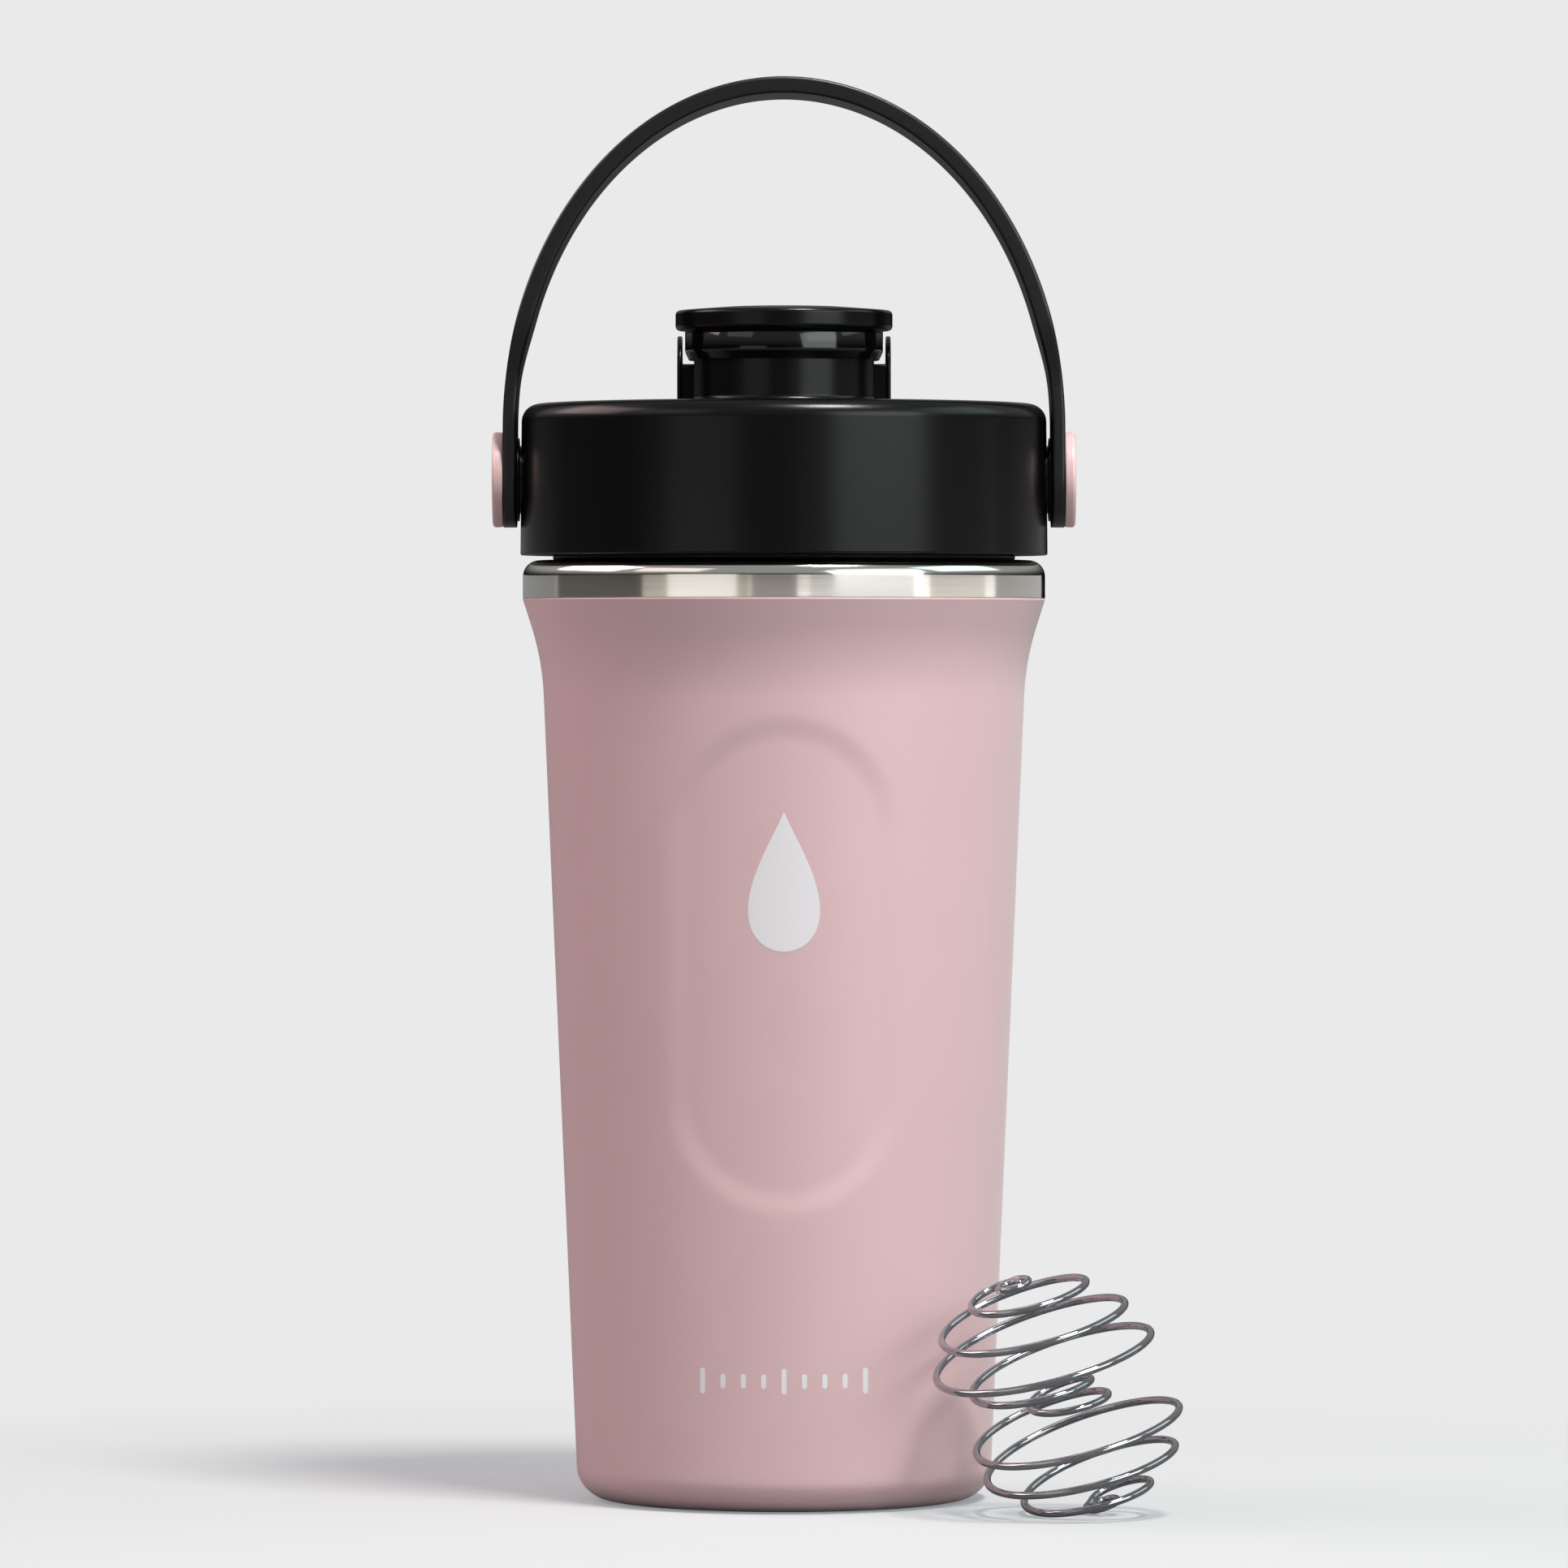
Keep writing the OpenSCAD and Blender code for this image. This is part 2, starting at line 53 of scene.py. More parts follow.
# ---------------------------------------------------------------- sizes, in millimetres
BASE_R = 37.36            # body radius just above the base corner
BASE_CORNER_R = 6.0
TAPER = math.radians(2.44)
FLARE_Z = 144.5           # the straight taper ends and the shoulder begins
FLARE_TOP_Z = 157.0       # the shoulder reaches its full angle
FLARE_END = math.radians(17.6)
BAND_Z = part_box("rim_band")[0].z / MM
BAND_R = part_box("rim_band")[1].x / MM
BAND_WALL = 0.8
RIM_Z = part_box("rim_band")[1].z / MM
MOUTH_R = 41.0
MOUTH_LOW_Z = 150.0       # the liner narrows below this height
WALL = 0.7
VACUUM_GAP = 2.1          # between the outer wall and the liner
LINER_FLOOR_Z = 6.2
BASE_OPEN_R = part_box("base_cap")[1].x / MM
BASE_GROOVE, BASE_DISC_T = 0.6, 1.2
JACKET_LOW, JACKET_TOP = 2.2, 2.9   # under and upper face of the jacket's floor

PANEL_Z = 97.1
PANEL_HALF_W = 18.7       # to the middle of the bevel
PANEL_HALF_H = 42.1
PANEL_BEVEL = 5.0
PANEL_DEPTH = 0.4

LID_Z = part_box("lid_shell")[0].z / MM
LID_R = 47.45
DECK_Z = 197.0
DECK_CORNER_R = 3.2
DECK_CROWN = 0.08
LID_WALL = 2.3
SPOUT_Y = -13.0
SPOUT_R = 16.1
SPOUT_BORE_R = 14.0
SPOUT_Z = 209.2
PLUG_R = 39.5
PLUG_WALL = 2.0
PLUG_FLOOR_R = 30.3       # inside this radius the plug's floor has the throat's hole
PLUG_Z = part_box("lid_plug")[0].z / MM
PLUG_FLANGE_Z, PLUG_FLANGE_T = 169.9, 2.4
PITCH = 6.0
RIDGE, RIDGE_HALF_H = 1.1, 1.35     # how far the thread stands out, and half its height
THREAD_Z = 156.2

JOINT = {j["name"]: j for j in frame["joints"]}
HINGE_Y, HINGE_Z = (JOINT["cap_flip"]["pos_m"][i] / MM for i in (1, 2))
PIVOT_Z = JOINT["strap_swing"]["pos_m"][2] / MM
CAP_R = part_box("cap_cover")[1].x / MM
CAP_Z = 209.8
CAP_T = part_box("cap_cover")[1].z / MM - CAP_Z
ARM_HALF = 15.7
EAR_R, EAR_IN, EAR_STEP, EAR_OUT = 7.0, 16.2, 18.4, 19.3
EAR_STEP_Z = 204.4        # above this height only the ear's outer plate goes on
EAR_INSET = 0.35          # the ear's block stands back inside the plate by this
BARREL_R = 4.6
PIN_R = 1.5
SKIRT_LOW_Z, SKIRT_BEND_Z = 204.5, 206.0    # the glossy ring leans out between these
SKIRT_IN, SKIRT_FOOT_R, SKIRT_R = 16.5, 17.0, 17.7

STRAP_HALF = 48.05        # half width inside the strap
STRAP_T, GRIP_T = 2.4, 3.0
STRAP_W, GRIP_W = 17.3, 23.6
GRIP_LOW_Z, GRIP_HIGH_Z = 200.0, 213.0      # the strap widens and thickens between these
ARCH_Z = 192.4
ARCH_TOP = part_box("carry_strap")[1].z / MM
STRAP_EDGE = 0.6
STRAP_HOLE_R = 3.65
STEM_R = 2.6              # the button's stem, for which boss and bush are bored
STEM_END = 40.5
BOSS_R, BOSS_IN, BOSS_OUT = 6.1, 39.5, 47.6
BUSH_R, BUSH_OUT, SLEEVE_R = 7.5, 48.0, 3.6
BUTTON_X = 50.5
BUTTON_R, BUTTON_T = 8.6, 1.9
BUTTON_GROOVE = 0.6


# ---------------------------------------------------------------- mesh helpers
def add_object(name, verts, faces):
    """A smooth mesh object from points in millimetres."""
    mesh = bpy.data.meshes.new(name)
    mesh.from_pydata([tuple(c * MM for c in v) for v in verts], [], faces)
    bm = bmesh.new()
    bm.from_mesh(mesh)
    bmesh.ops.remove_doubles(bm, verts=bm.verts, dist=1e-7)
    bmesh.ops.recalc_face_normals(bm, faces=bm.faces)
    bm.to_mesh(mesh)
    bm.free()
    mesh.polygons.foreach_set("use_smooth", [True] * len(mesh.polygons))
    obj = bpy.data.objects.new(name, mesh)
    bpy.context.scene.collection.objects.link(obj)
    return obj


def apply_modifiers(obj):
    """Replaces the object's mesh by what its modifiers make of it."""
    bpy.context.view_layer.update()
    shape = obj.evaluated_get(bpy.context.evaluated_depsgraph_get())
    mesh = bpy.data.meshes.new_from_object(shape)
    obj.modifiers.clear()
    obj.data = mesh
    return obj


def weigh_normals(obj):
    """Lets large flat faces keep flat shading beside their rounded edges."""
    modifier = obj.modifiers.new("normals", "WEIGHTED_NORMAL")
    modifier.weight = 80
    modifier.keep_sharp = True
    return obj


def merge(name, parts):
    """One object from several, which are removed."""
    bm = bmesh.new()
    for part in parts:
        apply_modifiers(part)
        bm.from_mesh(part.data)
    mesh = bpy.data.meshes.new(name)
    bm.to_mesh(mesh)
    bm.free()
    for part in parts:
        bpy.data.objects.remove(part)
    mesh.polygons.foreach_set("use_smooth", [True] * len(mesh.polygons))
    obj = bpy.data.objects.new(name, mesh)
    bpy.context.scene.collection.objects.link(obj)
    return obj


def rounded(corners, steps=6):
    """A closed outline from corners (a, b, radius), each replaced by an arc of that radius."""
    points = []
    count = len(corners)
    for i, (a, b, radius) in enumerate(corners):
        here = Vector((a, b))
        if radius <= 0:
            points.append((a, b))
            continue
        back = Vector(corners[i - 1][:2]) - here
        on = Vector(corners[(i + 1) % count][:2]) - here
        turn = back.angle(on)
        reach = radius / math.tan(turn / 2)
        start = here + back.normalized() * reach
        end = here + on.normalized() * reach
        middle = here + (back.normalized() + on.normalized()).normalized() * (
            radius / math.sin(turn / 2))
        u, v = start - middle, end - middle
        sweep = math.pi - turn
        for k in range(steps + 1):
            t = k / steps
            mix = (math.sin((1 - t) * sweep) * u + math.sin(t * sweep) * v) / math.sin(sweep)
            points.append(tuple(middle + mix))
    return points


def lathe(name, outline, segments=192, centre=(0.0, 0.0)):
    """Turns a closed outline of (radius, height) points about a vertical axis."""
    verts, faces = [], []
    count = len(outline)
    for k in range(segments):
        angle = TURN * k / segments
        for r, z in outline:
            verts.append((centre[0] + r * math.cos(angle), centre[1] + r * math.sin(angle), z))
    for k in range(segments):
        n = (k + 1) % segments
        for i in range(count):
            j = (i + 1) % count
            if outline[i][0] < 1e-9 and outline[j][0] < 1e-9:
                continue            # this edge lies on the axis
            faces.append((k * count + i, n * count + i, n * count + j, k * count + j))
    return weigh_normals(add_object(name, verts, faces))


def lie_along_x(obj, side):
    """Turns a piece modelled along +Z so that it points along side * X at the strap's pivot."""
    for v in obj.data.vertices:
        x, y, z = v.co
        v.co = (side * z, side * y, PIVOT_Z * MM + x)
    obj.data.update()
    if side > 0:                    # on this side the turn is a mirror image
        obj.data.flip_normals()
    return obj


def prism(name, outline, x0, x1, bevel=0.0, steps=3):
    """A side view of (y, z) points drawn out along X, with rounded edges."""
    count = len(outline)
    verts = [(x, y, z) for x in (x0, x1) for y, z in outline]
    faces = [tuple(range(count)), tuple(range(2 * count - 1, count - 1, -1))]
    faces += [(i, i + count, (i + 1) % count + count, (i + 1) % count) for i in range(count)]
    obj = add_object(name, verts, faces)
    if bevel:
        modifier = obj.modifiers.new("edges", "BEVEL")
        modifier.width = bevel * MM
        modifier.segments = steps
        modifier.limit_method = "ANGLE"
        modifier.angle_limit = math.radians(50)
    return weigh_normals(obj)


def drill(obj, radius, at):
    """Cuts a hole along X right through the object, round the point (y, z)."""
    outline = [(at[0] + radius * math.cos(TURN * k / 48), at[1] + radius * math.sin(TURN * k / 48))
               for k in range(48)]
    return cut_away(obj, prism("drill", outline, -100.0, 100.0))


def cut_away(obj, tool):
    """Cuts the tool's shape out of the object."""
    tool.modifiers.clear()
    modifier = obj.modifiers.new("hole", "BOOLEAN")
    modifier.operation = "DIFFERENCE"
    modifier.solver = "EXACT"
    modifier.object = tool
    obj.modifiers.move(len(obj.modifiers) - 1, 0)
    apply_modifiers(obj)
    bpy.data.objects.remove(tool)
    return obj


def sweep(name, rings):
    """A closed tube through rings of points, capped at both ends."""
    n = len(rings[0])
    verts = [p for ring in rings for p in ring]
    faces = [tuple(range(n)), tuple(range(len(verts) - 1, len(verts) - n - 1, -1))]
    for k in range(len(rings) - 1):
        for i in range(n):
            j = (i + 1) % n
            faces.append((k * n + i, (k + 1) * n + i, (k + 1) * n + j, k * n + j))
    return add_object(name, verts, faces)


def thread(name, root_r, tip_r, z, turns, per_turn=96):
    """A rolled helical ridge whose ends run out smoothly into the wall."""
    rings = []
    steps = int(turns * per_turn)
    for k in range(steps + 1):
        angle = TURN * k / per_turn
        run_out = min(1.0, 10 * k / steps, 10 * (steps - k) / steps)
        tip = root_r + (tip_r - root_r) * math.sin(run_out * math.pi / 2)
        ring = []
        for i in range(9):
            t = -1 + 2 * i / 8
            r = root_r + (tip - root_r) * math.cos(t * math.pi / 2) ** 0.7
            ring.append((r * math.cos(angle), r * math.sin(angle),
                         z + PITCH * angle / TURN + t * RIDGE_HALF_H))
        rings.append(ring)
    return sweep(name, rings)


# ---------------------------------------------------------------- materials
def node(tree, kind, **values):
    made = tree.nodes.new(kind)
    for key, value in values.items():
        setattr(made, key, value)
    return made


def surface(name, colour, roughness, metallic=0.0, grain=0.4, bump=0.02, tint=0.04,
            rough_vary=0.05, stretch=(1, 1, 1), cloud=18.0, **extra):
    """A principled material whose grain, tint and gloss vary with procedural noise.
    grain and cloud are feature sizes and bump a height, all in millimetres."""
    material = bpy.data.materials.new(name)
    material.use_nodes = True
    tree = material.node_tree
    shader = tree.nodes["Principled BSDF"]
    shader.inputs["Metallic"].default_value = metallic
    for key, value in extra.items():
        shader.inputs[key.replace("_", " ")].default_value = value
    where = node(tree, "ShaderNodeTexCoord")
    mapping = node(tree, "ShaderNodeMapping")
    mapping.inputs["Scale"].default_value = stretch
    tree.links.new(where.outputs["Object"], mapping.inputs["Vector"])

    def noise(size, detail):
        made = node(tree, "ShaderNodeTexNoise")
        made.inputs["Scale"].default_value = 1 / (size * MM)
        made.inputs["Detail"].default_value = detail
        tree.links.new(mapping.outputs["Vector"], made.inputs["Vector"])
        return made

    fine, soft = noise(grain, 3.0), noise(cloud, 2.0)
    mix = node(tree, "ShaderNodeMix", data_type="RGBA")     # its colours are 6, 7 and output 2
    mix.inputs[6].default_value = (*[c * (1 - tint) for c in colour], 1)
    mix.inputs[7].default_value = (*[min(1, c * (1 + tint)) for c in colour], 1)
    tree.links.new(soft.outputs["Fac"], mix.inputs[0])
    tree.links.new(mix.outputs[2], shader.inputs["Base Color"])
    gloss = node(tree, "ShaderNodeMapRange")
    gloss.inputs["To Min"].default_value = max(0.0, roughness - rough_vary)
    gloss.inputs["To Max"].default_value = roughness + rough_vary
    tree.links.new(fine.outputs["Fac"], gloss.inputs["Value"])
    tree.links.new(gloss.outputs["Result"], shader.inputs["Roughness"])
    relief = node(tree, "ShaderNodeBump")
    relief.inputs["Strength"].default_value = 0.6
    relief.inputs["Distance"].default_value = bump * MM
    tree.links.new(fine.outputs["Fac"], relief.inputs["Height"])
    tree.links.new(relief.outputs["Normal"], shader.inputs["Normal"])
    return material


FINISHES = {
    "powder_coat": dict(colour=(0.75, 0.49, 0.52), roughness=0.42, grain=0.45, bump=0.012,
                        tint=0.02, Specular_IOR_Level=0.9, Sheen_Weight=0.3,
                        Sheen_Roughness=0.5),
    "rim_steel": dict(colour=(0.74, 0.72, 0.67), roughness=0.11, metallic=1.0, grain=0.5,
                      bump=0.001, tint=0.02, rough_vary=0.03, stretch=(0.02, 0.02, 1)),
    "liner_steel": dict(colour=(0.62, 0.61, 0.59), roughness=0.26, metallic=1.0, grain=0.6,
                        bump=0.004, stretch=(0.05, 0.05, 1)),
    "getter_metal": dict(colour=(0.35, 0.35, 0.36), roughness=0.6, metallic=0.6, bump=0.05),
    "lid_plastic": dict(colour=(0.002, 0.002, 0.0022), roughness=0.24, grain=0.22, bump=0.008,
                        tint=0.1, Specular_IOR_Level=0.26),
    "cap_gloss": dict(colour=(0.002, 0.002, 0.002), roughness=0.09, grain=2.0, bump=0.002,
                      rough_vary=0.03),
    "strap_rubber": dict(colour=(0.005, 0.005, 0.0055), roughness=0.36, grain=0.3, bump=0.01,
                         tint=0.1),
    "silicone": dict(colour=(0.03, 0.03, 0.032), roughness=0.5, grain=0.5, bump=0.01),
    "button_plastic": dict(colour=(0.8, 0.56, 0.57), roughness=0.3, grain=1.5, bump=0.006,
                           tint=0.05, Subsurface_Weight=0.7, Coat_Weight=0.2,
                           Subsurface_Radius=(0.004, 0.003, 0.003)),
    "whisk_wire": dict(colour=(0.38, 0.39, 0.42), roughness=0.07, metallic=1.0, grain=0.25,
                       bump=0.002, rough_vary=0.04),
    "print_ink": dict(colour=(0.86, 0.82, 0.86), roughness=0.5, grain=0.3, bump=0.004,
                      tint=0.02),
}
MATERIALS = {name: surface(name, **finish) for name, finish in FINISHES.items()}


def place(obj, body, slot, *nodes, ink=None):
    """Gives a finished piece its finish and its body, and hides the CAD nodes that it stands for.
    """
    obj.data.materials.clear()
    obj.data.materials.append(MATERIALS[ink or slot])
    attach(obj, body)
    if nodes:
        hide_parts(*nodes)
    return obj


# ---------------------------------------------------------------- body
def smoothstep(t):
    t = np.clip(t, 0, 1)
    return t * t * (3 - 2 * t)


def body_radius(z):
    """Radius of the coated wall above its base corner: a taper, a curve and a cone."""
    flare_r = (FLARE_TOP_Z - FLARE_Z) / (math.sin(FLARE_END) - math.sin(TAPER))
    start_r = BASE_R + (FLARE_Z - BASE_CORNER_R) * math.tan(TAPER)
    if z <= FLARE_Z:
        return BASE_R + (z - BASE_CORNER_R) * math.tan(TAPER)
    sine = math.sin(TAPER) + (min(z, FLARE_TOP_Z) - FLARE_Z) / flare_r
    curve_r = start_r + flare_r * (math.cos(TAPER) - math.sqrt(1 - sine * sine))
    return curve_r + max(z - FLARE_TOP_Z, 0) * math.tan(FLARE_END)


def panel_dent(x, z):
    """Depth of the pressed-in grip panel at a place on the front or back."""
    straight = PANEL_HALF_H - PANEL_HALF_W
    over = max(abs(z - PANEL_Z) - straight, 0.0)
    distance = math.hypot(x, over) - PANEL_HALF_W
    return PANEL_DEPTH * float(smoothstep(0.5 - distance / PANEL_BEVEL))


def make_body():
    """The coated shell: outer wall with its panels, rolled foot and inner wall."""
    middle_r, inner_corner_r = BASE_R - BASE_CORNER_R, BASE_CORNER_R - WALL
    corner = [(middle_r + BASE_CORNER_R * math.cos(a), BASE_CORNER_R * (1 + math.sin(a)))
              for a in np.linspace(-math.pi / 2, -TAPER, 12)]
    rows = np.concatenate([np.linspace(BASE_CORNER_R + 1, FLARE_Z, 150),
                           np.linspace(FLARE_Z + 1, BAND_Z - 0.4, 26)])
    edge = body_radius(BAND_Z)
    outer = [(body_radius(z), z) for z in rows]
    outer += [(edge - 0.02, BAND_Z - 0.12), (edge - 0.14, BAND_Z)]
    inner = [(edge - WALL, BAND_Z)]
    inner += [(r - WALL, z) for r, z in outer[::-6][1:]]    # every sixth row is enough inside
    inner += [(middle_r + inner_corner_r * math.cos(a),
               BASE_CORNER_R + inner_corner_r * math.sin(a))
              for a in np.linspace(-TAPER, -math.pi / 2, 6)]
    outline = [(BASE_OPEN_R, 0.0), *corner, *outer, *inner, (BASE_OPEN_R, WALL)]
    body = lathe("body_shell", outline, segments=384)
    for v in body.data.vertices:
        x, y, z = v.co / MM
        dent = panel_dent(x, z)
        radius = math.hypot(x, y)
        if dent > 0 and radius > BASE_OPEN_R + 2:
            v.co.x -= dent * x / radius * MM
            v.co.y -= dent * y / radius * MM
    place(body, "vessel", "powder_coat", "outer_shell")


def make_rim():
    """The bare steel band, rolled over into the drinking lip."""
    inner_r, under = BAND_R - BAND_WALL, RIM_Z - BAND_WALL
    outline = rounded([
        (BAND_R, BAND_Z, 0.12), (BAND_R, RIM_Z, 2.9), (MOUTH_R, RIM_Z, 0.5),
        (MOUTH_R, under, 0), (inner_r, under, 2.1), (inner_r, BAND_Z, 0)], 10)
    place(lathe("rim_band_ring", outline, 256), "vessel", "rim_steel", "rim_band")


def make_liner():
    """The steel vessel inside the jacket, with the thread in its mouth."""
    floor_z, wall_in = LINER_FLOOR_Z, WALL + VACUUM_GAP + WALL
    low_r = BASE_R + (floor_z - BASE_CORNER_R) * math.tan(TAPER) - wall_in
    high_r = body_radius(FLARE_Z) - wall_in
    top = RIM_Z - BAND_WALL
    inside = [(0, floor_z + WALL, 0), (low_r, floor_z + WALL, 7), (high_r, FLARE_Z, 12),
              (MOUTH_R, MOUTH_LOW_Z, 8), (MOUTH_R, top, 0)]
    outside = [(MOUTH_R + WALL, top, 0), (MOUTH_R + WALL, MOUTH_LOW_Z, 8),
               (high_r + WALL, FLARE_Z, 12), (low_r + WALL, floor_z, 7 + WALL), (0, floor_z, 0)]
    liner = lathe("steel_liner", rounded(inside + outside, 10), 192)
    ridge = thread("liner_thread", MOUTH_R + 0.3, MOUTH_R - RIDGE, THREAD_Z, 1.4)
    place(merge("steel_liner", [liner, ridge]), "vessel", "liner_steel", "inner_liner")


def make_base():
    """The stamped disc under the vessel, with a shallow groove inside its edge, and above it the
    jacket's floor with its seal bead and getter pill."""
    r = BASE_OPEN_R
    outline = rounded([
        (0, 0, 0), (26, 0, 0.5), (26.5, BASE_GROOVE, 0.4), (r - 1.6, BASE_GROOVE, 0.4),
        (r - 1.1, 0, 0.25), (r - 0.02, 0, 0.3), (r - 0.02, BASE_DISC_T, 0),
        (0, BASE_DISC_T, 0)], 5)
    place(lathe("base_disc", outline, 192), "vessel", "powder_coat", "base_cap")
    low, top, hole_r, turned_r = JACKET_LOW, JACKET_TOP, 1.5, 30.5
    floor = rounded([
        (hole_r, low, 0), (turned_r, low, 0.3), (turned_r, WALL, 0), (turned_r + WALL, WALL, 0),
        (turned_r + WALL, top, 1), (hole_r, top, 0)], 5)
    place(lathe("jacket_floor_plate", floor, 96), "vessel", "liner_steel", "jacket_floor")
    bead = rounded([(0, low - 0.7, 0), (2.6, low - 0.7, 0.5), (3, low, 0), (hole_r, low, 0),
                    (hole_r, top, 0), (0, top, 0)], 4)
    place(lathe("seal_bead", bead, 48), "vessel", "liner_steel", "vacuum_seal")
    pill = rounded([(0, top, 0), (4.5, top, 0.3), (4.5, top + 2.2, 0.5), (0, top + 2.2, 0)], 4)
    place(lathe("getter_pill", pill, 64, centre=(12, 0)), "vessel", "getter_metal", "getter")


# ---------------------------------------------------------------- print on the body
DROP_Z = 112.0
DROP_HALF_W, DROP_HALF_H = 8.9, 12.4        # the drop's taper makes it narrower than this
TICK_Z = 23.6             # height of the tick scale
TICK_STEP, TICK_HALF_W = 3.6, 0.45
LONG_TICK, SHORT_TICK = 2.3, 1.3            # half heights


def on_front(x, z, lift=0.03):
    """A point just proud of the coated front, above (x, z)."""
    radius = body_radius(z)
    dent = panel_dent(x, z)
    return (x, -math.sqrt(radius * radius - x * x) + dent - lift, z)


def print_shape(name, rings, middle):
    """A thin printed film: rings of (x, z) points from its outside inwards, round a middle."""
    n = len(rings[0])
    flat = [p for ring in rings for p in ring] + [middle]
    count = len(flat)
    verts = [on_front(x, z) for x, z in flat] + [on_front(x, z, -0.02) for x, z in flat]
    faces = []
    for side in (0, count):
        for k in range(len(rings) - 1):
            for i in range(n):
                j = (i + 1) % n
                faces.append(tuple(side + v for v in (
                    k * n + i, k * n + j, (k + 1) * n + j, (k + 1) * n + i)))
        last = side + (len(rings) - 1) * n
        faces += [(last + i, last + (i + 1) % n, side + count - 1) for i in range(n)]
    faces += [(i, (i + 1) % n, count + (i + 1) % n, count + i) for i in range(n)]
    film = add_object(name, verts, faces)
    film.data.set_sharp_from_angle(angle=math.radians(40))
    return film


def make_print():
    """A plain drop over a short tick scale, in place of any mark."""
    def drop(shrink):
        points = []
        for k in range(64):
            a = TURN * k / 64
            width = math.sin(a) * math.sin(a / 2) ** 1.4
            points.append((DROP_HALF_W * shrink * width,
                           DROP_Z + DROP_HALF_H * shrink * math.cos(a)))
        return points

    def bar(x, half_h, shrink):
        points = []
        for k in range(24):
            a = TURN * k / 24
            lift = half_h - TICK_HALF_W if math.sin(a) >= 0 else TICK_HALF_W - half_h
            points.append((x + TICK_HALF_W * shrink * math.cos(a),
                           TICK_Z + lift + TICK_HALF_W * shrink * math.sin(a)))
        return points

    films = [print_shape("drop", [drop(s) for s in (1.0, 0.8, 0.6, 0.4, 0.2)], (0, DROP_Z))]
    for i in range(9):
        x = (i - 4) * TICK_STEP
        half_h = LONG_TICK if i % 4 == 0 else SHORT_TICK
        films.append(print_shape("tick", [bar(x, half_h, s) for s in (1, 0.5)], (x, TICK_Z)))
    place(merge("printed_mark", films), "vessel", "powder_coat", ink="print_ink")


# ---------------------------------------------------------------- lid
def make_lid():
    """The moulded cover: skirt and deck, spout neck, hinge ears and the strap's bosses."""
    top_r, inner_r = LID_R - 0.25, LID_R - LID_WALL
    under, foot_r = DECK_Z - LID_WALL, SPOUT_R + 1.6
    skirt = lathe("skirt", rounded([
        (LID_R, LID_Z, 0.35), (top_r, DECK_Z, DECK_CORNER_R), (0, DECK_Z + DECK_CROWN, 0),
        (0, under, 0), (inner_r, under, 1.2), (inner_r, LID_Z, 0.3)], 12), 256)
    bore = lathe("bore", [(0, under - 5), (SPOUT_BORE_R, under - 5), (SPOUT_BORE_R, DECK_Z + 5),
                          (0, DECK_Z + 5)], 160, centre=(0, SPOUT_Y))
    cut_away(skirt, bore)
    neck = lathe("neck", rounded([
        (foot_r, DECK_Z - 0.8, 0), (foot_r, DECK_Z + 0.05, 0),
        (SPOUT_R, DECK_Z + 0.05, 1.1), (SPOUT_R, SPOUT_Z, 0.6), (SPOUT_BORE_R, SPOUT_Z, 0.6),
        (SPOUT_BORE_R, under, 0)], 8), 160, centre=(0, SPOUT_Y))
    half, foot_z = EAR_R - EAR_INSET, DECK_Z - 0.5
    block = rounded([
        (HINGE_Y - half, foot_z, 0), (HINGE_Y + half, foot_z, 0),
        (HINGE_Y + half, EAR_STEP_Z, 0.6), (HINGE_Y - half, EAR_STEP_Z, 0.6)])
    plate = [(HINGE_Y + EAR_R * math.cos(a), HINGE_Z + EAR_R * math.sin(a))
             for a in np.linspace(0, math.pi, 33)]
    plate += [(HINGE_Y - EAR_R, foot_z), (HINGE_Y + EAR_R, foot_z)]
    boss = rounded([(STEM_R, BOSS_IN, 0), (BOSS_R, BOSS_IN, 0), (BOSS_R, BOSS_OUT, 0.15),
                    (STEM_R, BOSS_OUT, 0)], 4)
    ears, bosses = [], []
    for side in (-1, 1):
        for plan, inner, outer in ((block, EAR_IN, EAR_OUT - EAR_INSET),
                                   (plate, EAR_STEP, EAR_OUT)):
            x0, x1 = sorted((side * inner, side * outer))
            ears.append(drill(prism("ear", plan, x0, x1, bevel=0.3), PIN_R, (HINGE_Y, HINGE_Z)))
        bosses.append(lie_along_x(lathe("boss", boss, 64), side))
    place(merge("lid_cover", [skirt, neck, *ears, *bosses]), "lid", "lid_plastic", "lid_shell")


def make_plug():
    """The threaded inner cup with its flange and the throat under the spout."""
    flange_r, under = LID_R - LID_WALL - 0.35, DECK_Z - LID_WALL
    flange_top, inner_r = PLUG_FLANGE_Z + PLUG_FLANGE_T, PLUG_R - PLUG_WALL
    floor_top = PLUG_Z + PLUG_WALL
    cup = lathe("cup", rounded([
        (PLUG_FLOOR_R, PLUG_Z, 0), (PLUG_R, PLUG_Z, 0.8), (PLUG_R, PLUG_FLANGE_Z, 0.3),
        (flange_r, PLUG_FLANGE_Z, 0.2), (flange_r, flange_top, 0.3), (inner_r, flange_top, 0.3),
        (inner_r, floor_top, 0.5), (PLUG_FLOOR_R, floor_top, 0)], 5), 192)
    floor = plate_with_hole("floor", PLUG_FLOOR_R + 0.1, PLUG_Z, floor_top, SPOUT_BORE_R, SPOUT_Y)
    throat = lathe("throat", rounded([
        (SPOUT_BORE_R, PLUG_Z + 0.01, 0.2), (SPOUT_R, PLUG_Z + 0.8, 0), (SPOUT_R, under - 0.02, 0),
        (SPOUT_BORE_R, under - 0.02, 0)], 5), 128, centre=(0, SPOUT_Y))
    ridge = thread("ridge", PLUG_R - 0.3, PLUG_R + RIDGE, THREAD_Z + PITCH / 2, 1.2)
    place(merge("threaded_plug", [cup, floor, throat, ridge]), "lid", "lid_plastic", "lid_plug")


